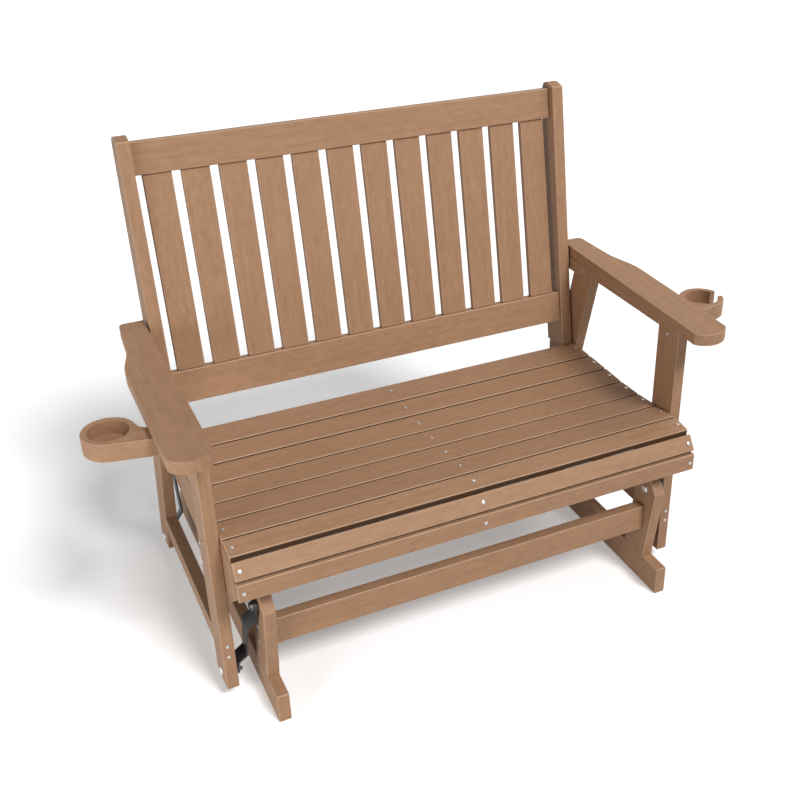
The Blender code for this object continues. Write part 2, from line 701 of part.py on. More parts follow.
    def build_seat_rails(self) -> None:
        """Make the left, centre and right seat rails."""
        lug = [self.on_stile(-GAP, BOARD_WIDTH), self.on_stile(-GAP, 0),
               (SEAT_REAR + GAP, SEAT_TOP - SLAT - GAP)]
        side_outline = self.seat_rail_outline(lug)
        for side, sign in SIDES.items():
            side_plank(f"{side}_seat_rail", side_outline, SIDE_BOARD_INNER, sign, LUMBER,
                       self.carrier, bevelled=False)
        centre_outline = self.seat_rail_outline([])
        side_plank("centre_seat_rail", centre_outline, -BOARD / 2, 1, LUMBER, self.carrier,
                   bevelled=False)

    def on_back(self, rise: float, depth: float, lean: float = BACK_LEAN) -> Vector:
        """Return (Y, Z) at a rise up the leaning back and a depth behind its front plane."""
        lean = math.radians(lean)
        up = Vector((math.sin(lean), math.cos(lean)))
        behind = Vector((math.cos(lean), -math.sin(lean)))
        return Vector((self.back_front_y, self.stile_foot)) + up * rise + behind * depth

    def on_stile(self, rise: float, depth: float) -> Vector:
        """Return (Y, Z) at a rise up the stiles and a depth behind their front edges."""
        return self.on_back(rise, depth, STILE_LEAN)

    def back_board(self, name: str, x_low: float, x_high: float, rise: float, height: float,
                   setback: float, thickness: float) -> None:
        """Make a board that lies in the leaning plane of the back."""
        slab = box(name, (x_low, -thickness / 2, -height / 2), (x_high, thickness / 2, height / 2),
                   LUMBER)
        middle = self.on_back(rise + height / 2, setback + thickness / 2)
        slab.location = ((x_low + x_high) / 2, middle.x, middle.y)
        slab.rotation_euler.x = math.radians(-BACK_LEAN)
        attach(slab, self.carrier)

    def build_back(self) -> None:
        """Make the stiles, the two rails between them and the slats."""
        outline = rounded([
            (*self.on_stile(0, 0), 0),
            (*self.on_stile(0, BOARD_WIDTH), 0),
            (*self.on_stile(STILE_STRAIGHT, BOARD_WIDTH), 0),
            (*self.on_stile(STILE_LENGTH, BOARD_WIDTH - STILE_TAPER), STILE_CORNER),
            (*self.on_stile(STILE_LENGTH, STILE_NOSE_RUN), 0),
            (*self.on_stile(STILE_LENGTH - STILE_NOSE_DROP, 0), 0),
        ])
        for side, sign in SIDES.items():
            side_plank(f"{side}_back_stile", outline, self.stile_inner, sign, LUMBER,
                       self.carrier, thickness=STILE)
        half_clear = self.stile_inner - GAP
        top_rail_rise = STILE_LENGTH - TOP_RAIL_DROP - TOP_RAIL_WIDTH
        for name, rise, width in (("lower_back_rail", LOWER_RAIL_RISE, LOWER_RAIL_WIDTH),
                                  ("top_back_rail", top_rail_rise, TOP_RAIL_WIDTH)):
            self.back_board(name, -half_clear, half_clear, rise, width, RAIL_SETBACK, BOARD)
        slat_rise = LOWER_RAIL_RISE + LOWER_RAIL_WIDTH + GAP
        slat_height = top_rail_rise - GAP - slat_rise
        spaces = BACK_SLAT_COUNT - 1 + 2 * END_SPACE
        space = (2 * half_clear - BACK_SLAT_COUNT * BACK_SLAT_WIDTH) / spaces
        for number in range(BACK_SLAT_COUNT):
            x = -half_clear + END_SPACE * space + number * (space + BACK_SLAT_WIDTH)
            self.back_board(f"back_slat_{number + 1}", x, x + BACK_SLAT_WIDTH, slat_rise,
                            slat_height, RAIL_SETBACK + SLAT_SETBACK, SLAT)

    def build(self) -> None:
        """Make the whole seat frame."""
        for side, sign in SIDES.items():
            self.build_posts(side, sign)
            self.build_arm(side, sign)
            self.build_cup_holder(side, sign)
        self.build_seat_slats()
        self.build_seat_rails()
        self.build_back()


def fit_pivots(base: Base, links: dict, frame: SeatFrame) -> None:
    """Drill each pivot and put its bolt in."""
    for (side, end), link in links.items():
        sign = SIDES[side]
        upper = (UPPER_PIVOT_Y[end], UPPER_PIVOT_HEIGHT)
        lower = (LOWER_PIVOT_Y[end], LOWER_PIVOT_HEIGHT)
        upper_hole = pivot_hole(f"{side}_{end}_upper_hole", sign * BASE_OUTER, *upper, HOLE_RADIUS)
        combine(base.uprights[side, end], upper_hole)
        combine(link, upper_hole)
        lower_hole = pivot_hole(f"{side}_{end}_lower_hole", sign * SEAT_HALF, *lower, HOLE_RADIUS)
        combine(frame.posts[side, end], lower_hole)
        if end == "rear":
            lower_hole = pivot_hole(f"{side}_{end}_play_hole", sign * SEAT_HALF, *lower,
                                    HOLE_RADIUS + PLAY)
        combine(link, lower_hole)
        pivot_bolt(f"{side}_{end}_upper_pivot", sign * BASE_INNER, *upper, sign)
        pivot_bolt(f"{side}_{end}_lower_pivot", sign * POST_OUTER, *lower, -sign, frame.carrier)


def build_bench() -> None:
    """Make the base, hang the four links on it and the seat frame on the links."""
    base = Base()
    base.build()
    links = {(side, end): Link(side, end).build() for side in SIDES for end in OUTWARD}
    carrier = new_empty("seat_frame", (0, LOWER_PIVOT_Y["front"], LOWER_PIVOT_HEIGHT),
                        links["left", "front"])
    frame = SeatFrame(carrier)
    frame.build()
    fit_pivots(base, links, frame)


build_bench()
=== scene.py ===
"""Looks of a two-seat outdoor glider bench of plastic lumber on steel swing links.

The boards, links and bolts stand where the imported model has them. Here they get their
rounded edges, embossed grain, fasteners and finishes, a plain studio and the camera.
Lengths are metres, angles are degrees, and the bench faces -Y.
"""
import logging
import math
from dataclasses import dataclass, field
from enum import Enum

import bpy
from mathutils import Matrix, Vector


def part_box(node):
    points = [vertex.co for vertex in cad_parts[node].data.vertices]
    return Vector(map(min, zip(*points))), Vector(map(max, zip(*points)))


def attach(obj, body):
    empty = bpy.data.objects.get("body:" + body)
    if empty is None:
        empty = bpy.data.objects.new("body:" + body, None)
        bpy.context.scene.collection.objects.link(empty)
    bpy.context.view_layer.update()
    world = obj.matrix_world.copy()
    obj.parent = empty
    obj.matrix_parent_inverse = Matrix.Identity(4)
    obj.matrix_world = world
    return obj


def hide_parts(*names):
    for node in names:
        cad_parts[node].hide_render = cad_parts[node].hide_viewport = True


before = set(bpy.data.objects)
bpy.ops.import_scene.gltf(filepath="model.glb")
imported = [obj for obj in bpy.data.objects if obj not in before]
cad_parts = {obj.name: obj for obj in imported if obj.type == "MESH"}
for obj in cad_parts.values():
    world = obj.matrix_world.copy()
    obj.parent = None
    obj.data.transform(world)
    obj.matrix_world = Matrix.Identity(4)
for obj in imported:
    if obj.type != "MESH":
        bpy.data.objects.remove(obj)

LOG = logging.getLogger("glider_bench")
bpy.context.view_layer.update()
SIDES = {"left": -1, "right": 1}
ENDS = {"front": -1, "rear": 1}
SEAT_UPWARDS = Vector((0, -0.6, 0.8))    # between upwards and forwards, to tell the slats' tops


class Slot(Enum):
    """Material slots of the record."""

    LUMBER = "poly_lumber"
    LINK_STEEL = "coated_steel"
    STAINLESS = "stainless_steel"


class Body(Enum):
    """Bodies that pieces ride on."""

    BASE = "base"
    SEAT = "seat_frame"


def deselect_all() -> None:
    """Leave edit mode if need be and deselect every object."""
    if bpy.context.object is not None and bpy.context.object.mode != "OBJECT":
        bpy.ops.object.mode_set(mode="OBJECT")
    bpy.ops.object.select_all(action="DESELECT")


def pick(obj: bpy.types.Object) -> bpy.types.Object:
    """Make one object the only selected and the active one.

    Args:
        obj: The object to pick.

    Returns:
        The same object.
    """
    deselect_all()
    obj.select_set(True)
    bpy.context.view_layer.objects.active = obj
    return obj


def apply_all(obj: bpy.types.Object) -> None:
    """Apply an object's place and all its modifiers.

    Args:
        obj: The object to finish.
    """
    pick(obj)
    bpy.ops.object.transform_apply(location=True, rotation=True, scale=True)
    for modifier in list(obj.modifiers):
        bpy.ops.object.modifier_apply(modifier=modifier.name)


def node_copy(node: str, name: str, weld: float = 0.00002, flat: float = 0.6) -> bpy.types.Object:
    """Copy a CAD node and merge its loose triangles into clean faces.

    Args:
        node: Name of the CAD node.
        name: Name of the new piece.
        weld: Points closer than this become one.
        flat: Triangles that turn less than this become one face.

    Returns:
        The new piece, in the node's place.
    """
    piece = bpy.data.objects.new(name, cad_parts[node].data.copy())
    bpy.context.scene.collection.objects.link(piece)
    piece.data.materials.clear()
    pick(piece)
    bpy.ops.object.mode_set(mode="EDIT")
    bpy.ops.mesh.select_all(action="SELECT")
    bpy.ops.mesh.customdata_custom_splitnormals_clear()
    bpy.ops.mesh.remove_doubles(threshold=weld)
    bpy.ops.mesh.dissolve_limited(angle_limit=math.radians(flat))
    bpy.ops.object.mode_set(mode="OBJECT")
    return piece


def soften(piece: bpy.types.Object, width: float, segments: int = 2, angle: float = 25.0,
           crease: float = 50.0) -> None:
    """Round the sharp edges of a piece and shade it smooth with flat faces kept flat.

    Args:
        piece: The piece to round.
        width: Width of the rounding.
        segments: Number of strips in the rounding.
        angle: Edges that turn more than this are rounded.
        crease: Edges that still turn more than this are shaded crisp.
    """
    bevel = piece.modifiers.new("round_edges", "BEVEL")
    bevel.width = width
    bevel.segments = segments
    bevel.limit_method = "ANGLE"
    bevel.angle_limit = math.radians(angle)
    bevel.use_clamp_overlap = True
    apply_all(piece)
    bpy.ops.object.shade_smooth_by_angle(angle=math.radians(crease))
    normals = piece.modifiers.new("flat_faces", "WEIGHTED_NORMAL")
    normals.keep_sharp = True
    apply_all(piece)


def top_face(slat: bpy.types.Object, least: float = 0.3) -> bpy.types.MeshPolygon:
    """Find the broad upper face of a seat slat.

    Args:
        slat: The finished slat.
        least: How far a face has to look upwards or forwards.

    Returns:
        The largest face that looks upwards or forwards.
    """
    faces = [face for face in slat.data.polygons if face.normal.dot(SEAT_UPWARDS) > least]
    return max(faces, key=lambda face: face.area)


class Value:
    """A value socket whose arithmetic adds Math nodes."""

    def __init__(self, graph: "Graph", socket: bpy.types.NodeSocket) -> None:
        """Wrap a socket.

        Args:
            graph: The graph that the socket belongs to.
            socket: A value output.
        """
        self.graph = graph
        self.socket = socket

    def _math(self, operation: str, *terms: "Value | float") -> "Value":
        """Add one Math node.

        Args:
            operation: The Math node's operation.
            terms: Its inputs, in order.

        Returns:
            The node's result.
        """
        inputs = dict(enumerate(terms))
        node = self.graph.node("ShaderNodeMath", {"operation": operation}, inputs)
        return Value(self.graph, node.outputs[0])

    def __add__(self, other: "Value | float") -> "Value":
        """Add."""
        return self._math("ADD", self, other)

    __radd__ = __add__

    def __mul__(self, other: "Value | float") -> "Value":
        """Multiply."""
        return self._math("MULTIPLY", self, other)

    __rmul__ = __mul__

    def __sub__(self, other: "Value | float") -> "Value":
        """Subtract a term."""
        return self._math("SUBTRACT", self, other)

    def __rsub__(self, other: "Value | float") -> "Value":
        """Subtract from a term."""
        return self._math("SUBTRACT", other, self)

    def absolute(self) -> "Value":
        """Drop the sign."""
        return self._math("ABSOLUTE", self)

    def near(self, middle: float, half: float) -> "Value":
        """Return 1 within a distance of a value, else 0.

        Args:
            middle: The value.
            half: The distance.

        Returns:
            1 or 0.
        """
        return self._math("COMPARE", self, middle, half)

    def clamp(self) -> "Value":
        """Keep the value between 0 and 1."""
        return self._math("MINIMUM", self._math("MAXIMUM", self, 0.0), 1.0)


class Graph:
    """Node tree of one material or of the world."""

    def __init__(self, name: str, world: bool = False) -> None:
        """Start an empty tree.

        Args:
            name: Name of the material or world.
            world: Whether the tree is a world's.
        """
        self.owner = bpy.data.worlds.new(name) if world else bpy.data.materials.new(name)
        self.owner.use_nodes = True
        self.tree = self.owner.node_tree
        self.tree.nodes.clear()

    def node(self, kind: str, settings: dict | None = None,
             inputs: dict | None = None) -> bpy.types.Node:
        """Add a node, set it and feed its sockets.

        Args:
            kind: The node's type.
            settings: Its settings, which are set first.
            inputs: Values or links by socket name or number.

        Returns:
            The new node.
        """
        node = self.tree.nodes.new(kind)
        for key, value in (settings or {}).items():
            setattr(node, key, value)
        for key, value in (inputs or {}).items():
            source = value.socket if isinstance(value, Value) else value
            if isinstance(source, bpy.types.NodeSocket):
                self.tree.links.new(source, node.inputs[key])
            else:
                node.inputs[key].default_value = source
        return node

    def value(self, kind: str, output: str | int, settings: dict | None = None,
              inputs: dict | None = None) -> Value:
        """Add a node and wrap one of its outputs.

        Args:
            kind: The node's type.
            output: Name or number of the output.
            settings: Its settings.
            inputs: Values or links by socket name or number.

        Returns:
            The wrapped output.
        """
        return Value(self, self.node(kind, settings, inputs).outputs[output])

    def attribute(self, name: str) -> Value:
        """Read a number stored on the mesh."""
        return self.value("ShaderNodeAttribute", "Fac", {"attribute_name": name})

    def place(self) -> bpy.types.NodeSocket:
        """Read Object coordinates."""
        return self.node("ShaderNodeTexCoord").outputs["Object"]

    def bump(self, strength: float, depth: float, height: Value) -> bpy.types.NodeSocket:
        """Emboss a surface.

        Args:
            strength: Strength of the bump.
            depth: Depth of the bump.
            height: The pattern.

        Returns:
            The bent normal.
        """
        inputs = {"Strength": strength, "Distance": depth, "Height": height}
        return self.node("ShaderNodeBump", {}, inputs).outputs[0]

    def glow(self, kind: str, strength: float) -> bpy.types.NodeSocket:
        """Add a plain white light of a given strength."""
        inputs = {"Color": (1, 1, 1, 1), "Strength": strength}
        return self.node(kind, {}, inputs).outputs[0]

    def mix(self, factor: Value, first: bpy.types.NodeSocket,
            second: bpy.types.NodeSocket) -> bpy.types.NodeSocket:
        """Mix two shaders.

        Args:
            factor: Share of the second shader.
            first: First shader.
            second: Second shader.

        Returns:
            The mixed shader.
        """
        return self.node("ShaderNodeMixShader", {}, {0: factor, 1: first, 2: second}).outputs[0]

    def noise(self, vector: bpy.types.NodeSocket, scale: float, detail: float = 2.0,
              roughness: float = 0.5) -> Value:
        """Return a noise value.

        Args:
            vector: Coordinates.
            scale: Features per metre.
            detail: Number of octaves.
            roughness: Weight of the fine octaves.

        Returns:
            The noise, about 0 to 1.
        """
        inputs = {"Vector": vector, "Scale": scale, "Detail": detail, "Roughness": roughness}
        return self.value("ShaderNodeTexNoise", "Fac", {}, inputs)

    def stretched(self, vector: bpy.types.NodeSocket, stretch: tuple) -> bpy.types.NodeSocket:
        """Scale coordinates unevenly.

        Args:
            vector: Coordinates.
            stretch: Factor for each axis.

        Returns:
            The scaled coordinates.
        """
        inputs = {0: vector, 1: stretch}
        return self.node("ShaderNodeVectorMath", {"operation": "MULTIPLY"}, inputs).outputs[0]

    def blend(self, factor: Value, first: "bpy.types.NodeSocket | tuple",
              second: "bpy.types.NodeSocket | tuple") -> bpy.types.NodeSocket:
        """Mix two colours.

        Args:
            factor: Share of the second colour.
            first: First colour.
            second: Second colour.

        Returns:
            The mixed colour.
        """
        inputs = {0: factor, 6: first, 7: second}
        return self.node("ShaderNodeMix", {"data_type": "RGBA"}, inputs).outputs[2]

    def finish(self, inputs: dict) -> bpy.types.Material:
        """Add the Principled shader and the output.

        Args:
            inputs: The shader's sockets.

        Returns:
            The finished material.
        """
        shader = self.node("ShaderNodeBsdfPrincipled", {}, inputs)
        self.node("ShaderNodeOutputMaterial", {}, {"Surface": shader.outputs[0]})
        return self.owner


@dataclass(frozen=True)
class Figure:
    """A noise pattern that is stretched along a board's grain."""

    stretch: tuple
    detail: float
    roughness: float

    def draw(self, graph: Graph, grain: bpy.types.NodeSocket) -> Value:
        """Add the pattern to a graph.

        Args:
            graph: The graph to add to.
            grain: The board's grain coordinates.

        Returns:
            The pattern, about 0 to 1.
        """
        return graph.noise(graph.stretched(grain, self.stretch), 1.0, self.detail, self.roughness)


@dataclass(frozen=True)
class PolyLumber:
    """Through-coloured plastic lumber with an embossed wood grain."""

    pale: tuple = (0.406, 0.234, 0.134, 1.0)
    brown: tuple = (0.304, 0.169, 0.093, 1.0)
    # Pale colour of the painted highlight along the boards' rounded edges, and its share.
    rim_highlight: tuple = (0.60, 0.40, 0.27, 1.0)
    rim_highlight_share: float = 0.28
    # Near-black brown of the painted shade on the seat slats' edges deep in the gaps.
    painted_gap_shade: tuple = (0.030, 0.017, 0.009, 1.0)
    roughness: float = 0.58
    roughness_swing: float = 0.2
    rim_polish: float = 0.12
    gloss: float = 0.3
    streaks: Figure = Figure((5.0, 110.0, 110.0), 5.0, 0.62)
    mottle: Figure = Figure((38.0, 95.0, 95.0), 3.0, 0.6)
    furrows: Figure = Figure((16.0, 420.0, 420.0), 4.0, 0.6)
    speck: float = 520.0
    shares: tuple = (0.30, 0.34, 0.36)
    contrast: float = 4.0
    furrow_depth: float = 0.7
    speck_depth: float = 0.3
    emboss: float = 0.5
    emboss_depth: float = 0.0008

    def build(self) -> bpy.types.Material:
        """Build the material.

        Returns:
            The lumber's material, which reads each board's own grain coordinates.
        """
        graph = Graph(Slot.LUMBER.value)
        grain = graph.node("ShaderNodeAttribute", {"attribute_name": "grain"}).outputs["Vector"]
        rim = graph.attribute("rim")
        streaks = self.streaks.draw(graph, grain)
        mottle = self.mottle.draw(graph, grain)
        speck = graph.noise(grain, self.speck)
        mixed = streaks * self.shares[0] + mottle * self.shares[1] + speck * self.shares[2]
        tone = (mixed - 0.5) * self.contrast + 0.5
        body_colour = graph.blend(tone.clamp(), self.brown, self.pale)
        # Painted highlight: the rims are blended towards a pale colour, as if their rounding caught the
        # light.
        colour = graph.blend(rim * self.rim_highlight_share, body_colour, self.rim_highlight)
        # Painted shade: the marked slat edges are darkened towards a near-black brown, standing in for
        # the shadow deep in the gaps between seat slats.
        colour = graph.blend(graph.attribute("gap_shade"), colour, self.painted_gap_shade)
        furrows = self.furrows.draw(graph, grain)
        height = furrows * self.furrow_depth + speck * self.speck_depth
        swing = (furrows - 0.5) * self.roughness_swing
        return graph.finish({
            "Base Color": colour,
            "Roughness": self.roughness + swing - rim * self.rim_polish,
            "Specular IOR Level": self.gloss,
            "Normal": graph.bump(self.emboss, self.emboss_depth, height),
        })


@dataclass(frozen=True)
class CoatedSteel:
    """Black powder-coated steel."""

    black: tuple = (0.018, 0.020, 0.021, 1.0)
    grey: tuple = (0.03, 0.032, 0.034, 1.0)
    roughness: float = 0.3
    roughness_swing: float = 0.15
    peel: float = 900.0
    emboss: float = 0.2
    emboss_depth: float = 0.0003

    def build(self) -> bpy.types.Material:
        """Build the material.

        Returns:
            A black coat with a faint orange peel.
        """
        graph = Graph(Slot.LINK_STEEL.value)
        orange_peel = graph.noise(graph.place(), self.peel)
        return graph.finish({
            "Base Color": graph.blend(orange_peel, self.black, self.grey),
            "Roughness": self.roughness + orange_peel * self.roughness_swing,
            "Metallic": 0.0,
            "Normal": graph.bump(self.emboss, self.emboss_depth, orange_peel),
        })


@dataclass(frozen=True)
class Stainless:
    """Plain stainless steel of the screws and bolts."""

    bright: tuple = (0.60, 0.59, 0.57, 1.0)
    scuffed: tuple = (0.5, 0.49, 0.47, 1.0)
    roughness: float = 0.28
    roughness_swing: float = 0.2
    scuffs: float = 1200.0
    tarnish: tuple = (0.10, 0.10, 0.10, 1.0)
    tarnish_middle: float = 0.4715
    tarnish_half: float = 0.0475

    def build(self, tarnished: bool = False) -> bpy.types.Material:
        """Build the material.

        Args:
            tarnished: Whether the collars and nuts between post and upright are dark.

        Returns:
            Bare steel with faint scuffs, dark between post and upright where asked.
        """
        graph = Graph(Slot.STAINLESS.value)
        place = graph.place()
        scuff = graph.noise(place, self.scuffs, 3.0)
        colour = graph.blend(scuff, self.bright, self.scuffed)
        if tarnished:
            sideways = graph.value("ShaderNodeSeparateXYZ", "X", {}, {0: place})
            between = sideways.absolute().near(self.tarnish_middle, self.tarnish_half)
            colour = graph.blend(between, colour, self.tarnish)
        return graph.finish({
            "Base Color": colour,
            "Roughness": self.roughness + scuff * self.roughness_swing,
            "Metallic": 1.0,
        })


@dataclass
class Lumberyard:
    """Turns CAD boards into finished boards that share one lumber material."""

    material: bpy.types.Material
    edge: float = 0.0009
    rim_limit: float = 0.0026
    grain_shift: tuple = (3.7, 1.3, 2.9)
    count: int = 0

    def board(self, node: str, body: Body, along: Vector, edge: float = 0.0) -> bpy.types.Object:
        """Make one finished board.

        Args:
            node: The CAD node that the board stands for.
            body: The body that it rides on.
            along: Direction of the grain.
            edge: Width of the rounding, 0 for the usual one.

        Returns:
            The finished board.
        """
        piece = node_copy(node, f"{node}_board")
        soften(piece, edge or self.edge)
        self.dress(piece, body, along)
        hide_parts(node)
        return piece

    def dress(self, piece: bpy.types.Object, body: Body, along: Vector) -> None:
        """Give a board its grain, its material and the body it rides on.

        Args:
            piece: The board.
            body: The body that it rides on.
            along: Direction of the grain.
        """
        self.lay_grain(piece, along)
        self.mark_rims(piece)
        piece.data.materials.clear()
        piece.data.materials.append(self.material)
        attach(piece, body.value)
        LOG.info("board %s", piece.name)

    def mark_rims(self, piece: bpy.types.Object) -> None:
        """Mark the narrow faces along a board's edges, where a painted highlight makes the colour paler.

        Args:
            piece: The board.
        """
        mesh = piece.data
        rim = mesh.attributes.new("rim", "FLOAT", "FACE")
        for face, item in zip(mesh.polygons, rim.data):
            corners = [mesh.vertices[index].co for index in face.vertices]
            longest = max((a - b).length for a, b in zip(corners, corners[1:] + corners[:1])) or 1.0
            item.value = 1.0 if face.area / longest < self.rim_limit else 0.0

    def lay_grain(self, piece: bpy.types.Object, along: Vector) -> None:
        """Store grain coordinates: along, across and through the board.

        Each board is shifted on by one step, so that no two show the same grain.

        Args:
            piece: The board.
            along: Direction of the grain.
        """
        self.count += 1
        shift = Vector(self.grain_shift) * self.count
        along = along.normalized()
        across = Vector((1, 0, 0)) if abs(along.x) < 0.5 else Vector((0, 1, 0))
        across = (across - along * across.dot(along)).normalized()
        through = along.cross(across)
        grain = piece.data.attributes.new("grain", "FLOAT_VECTOR", "POINT")
        for vertex, item in zip(piece.data.vertices, grain.data):
            place = vertex.co
            item.vector = Vector((place.dot(along), place.dot(across), place.dot(through))) + shift


@dataclass
class BaseFrame:
    """Runners, uprights and stretchers."""

    yard: Lumberyard
    upright_lean: float = 8.8

    def build(self) -> None:
        """Build the boards of the base."""
        lean = math.radians(self.upright_lean)
        for side in SIDES:
            self.yard.board(f"{side}_runner", Body.BASE, Vector((0, 1, 0)))
            for end, sign in ENDS.items():
                along = Vector((0, sign * math.sin(lean), math.cos(lean)))
                self.yard.board(f"{side}_{end}_base_upright", Body.BASE, along)
        for end in ENDS:
            self.yard.board(f"{end}_stretcher", Body.BASE, Vector((1, 0, 0)))


@dataclass
class SideFrames:
    """Posts, side rails, arms and cup holders."""

    yard: Lumberyard
    rear_post_lean: float = 15.4
    cup_edge: float = 0.0022
    cleat_rear: float = 0.192
    cleat_height: float = 0.030
    cleat_edge: float = 0.0018
    post_bevel: float = 0.0015
    same_level: float = 0.0005
    gap: float = 0.0003

    def build(self) -> None:
        """Build both side frames."""
        lean = math.radians(self.rear_post_lean)
        for side in SIDES:
            self.yard.board(f"{side}_front_post", Body.SEAT, Vector((0, 0, 1)))
            self.yard.board(f"{side}_rear_post", Body.SEAT, Vector((0, -math.sin(lean), math.cos(lean))))
            for name in ("lower_side_rail", "arm_rail", "arm"):
                self.yard.board(f"{side}_{name}", Body.SEAT, Vector((0, 1, 0)))
            self.yard.board(f"{side}_cup_holder", Body.SEAT, Vector((1, 0, 0)), self.cup_edge)
            self.build_cleat(side)

    def build_cleat(self, side: str) -> None:
        """Build the short block behind the rear post that carries the arm's rear end.

        Args:
            side: Side of the bench.
        """
        low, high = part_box(f"{side}_rear_post")
        top = high.z
        bottom = top - self.cleat_height
        deselect_all()
        bpy.ops.mesh.primitive_cube_add(size=1.0, location=((low.x + high.x) / 2, 0, 0))
        piece = bpy.context.object
        piece.name = f"{side}_rear_arm_cleat"
        rear = self.post_rear(side)
        slope = math.tan(math.radians(self.rear_post_lean))
        for vertex in piece.data.vertices:
            upper = vertex.co.z > 0
            vertex.co.x *= high.x - low.x
            vertex.co.z = top if upper else bottom
            front = rear + (0 if upper else slope * self.cleat_height)
            vertex.co.y = self.cleat_rear if vertex.co.y > 0 else front + self.gap
        soften(piece, self.cleat_edge)
        self.yard.dress(piece, Body.SEAT, Vector((0, 1, 0)))

    def post_rear(self, side: str) -> float:
        """Find the rear post's rear edge at its top, before the edge is bevelled.

        Args:
            side: Side of the bench.

        Returns:
            The largest Y among the post's uppermost points, plus the bevel.
        """
        points = [vertex.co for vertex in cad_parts[f"{side}_rear_post"].data.vertices]
        top = max(point.z for point in points)
        highest = [point.y for point in points if point.z > top - self.same_level]
        return max(highest) + self.post_bevel


@dataclass
class Seat:
    """Seat rails and seat slats."""

    yard: Lumberyard
    slat_count: int = 9
    # Strength of the painted shade on the slats' front edges in the gaps.
    gap_shade_depth: float = 0.85
    edge_least: float = 0.9
    lip_growth: dict = field(default_factory=lambda: {
        7: (0.0007, 0.0),
        8: (0.0006, 0.0009),
        9: (0.0, 0.0006),
    })

    def build(self) -> list:
        """Build the seat.

        Returns:
            The finished seat slats, the rear one first.
        """
        for name in ("left", "right", "centre"):
            self.yard.board(f"{name}_seat_rail", Body.SEAT, Vector((0, 1, 0)))
        slats = []
        for number in range(1, self.slat_count + 1):
            slat = self.yard.board(f"seat_slat_{number}", Body.SEAT, Vector((1, 0, 0)))
            front, rear = self.lip_growth.get(number, (0.0, 0.0))
            self.widen(slat, front, rear)
            # Painted shade on each slat's front edge in the gap; the front slat's edge stays unshaded.
            self.paint_gap_shade(slat, 0.0 if number == self.slat_count else self.gap_shade_depth)
            slats.append(slat)
        return slats

    def paint_gap_shade(self, slat: bpy.types.Object, amount: float) -> None:
        """Paint shade onto a slat's front edge, which lies in shadow deep in the gap before the next
        slat.

        Args:
            slat: The finished slat.
            amount: How dark the painted shade makes the edge, 0 to 1.
        """
        along = self.forwards(slat)
        mark = slat.data.attributes.new("gap_shade", "FLOAT", "FACE")
        for face, item in zip(slat.data.polygons, mark.data):
            item.value = amount if face.normal.dot(along) > self.edge_least else 0.0

    @staticmethod
    def forwards(slat: bpy.types.Object) -> Vector:
        """Find the direction across a slat's width, towards the front of the seat.

        Args:
            slat: The finished slat.

        Returns:
            A unit vector.
        """
        normal = top_face(slat).normal
        return Vector((0, -normal.z, normal.y))

    @staticmethod
    def widen(slat: bpy.types.Object, front: float, rear: float) -> None:
        """Move a slat's long edges outwards, so that the rolled lip closes tightly.

        Args:
            slat: The finished slat.
            front: How far its front edge moves.
            rear: How far its rear edge moves.
        """
        along = Seat.forwards(slat)
        middle = (Vector(slat.bound_box[0]) + Vector(slat.bound_box[6])) / 2
        for vertex in slat.data.vertices:
            ahead = (vertex.co - middle).dot(along) > 0
            vertex.co += along * (front if ahead else -rear)


@dataclass
class Back:
    """Stiles, back rails and back slats."""

    yard: Lumberyard
    slat_count: int = 12
    lean: float = 10.1

    def build(self) -> None:
        """Build the back."""
        up = Vector((0, math.sin(math.radians(self.lean)), math.cos(math.radians(self.lean))))
        for side in SIDES:
            self.yard.board(f"{side}_back_stile", Body.SEAT, up)
        for name in ("lower_back_rail", "top_back_rail"):
            self.yard.board(name, Body.SEAT, Vector((1, 0, 0)))
        for number in range(1, self.slat_count + 1):
            self.yard.board(f"back_slat_{number}", Body.SEAT, up)


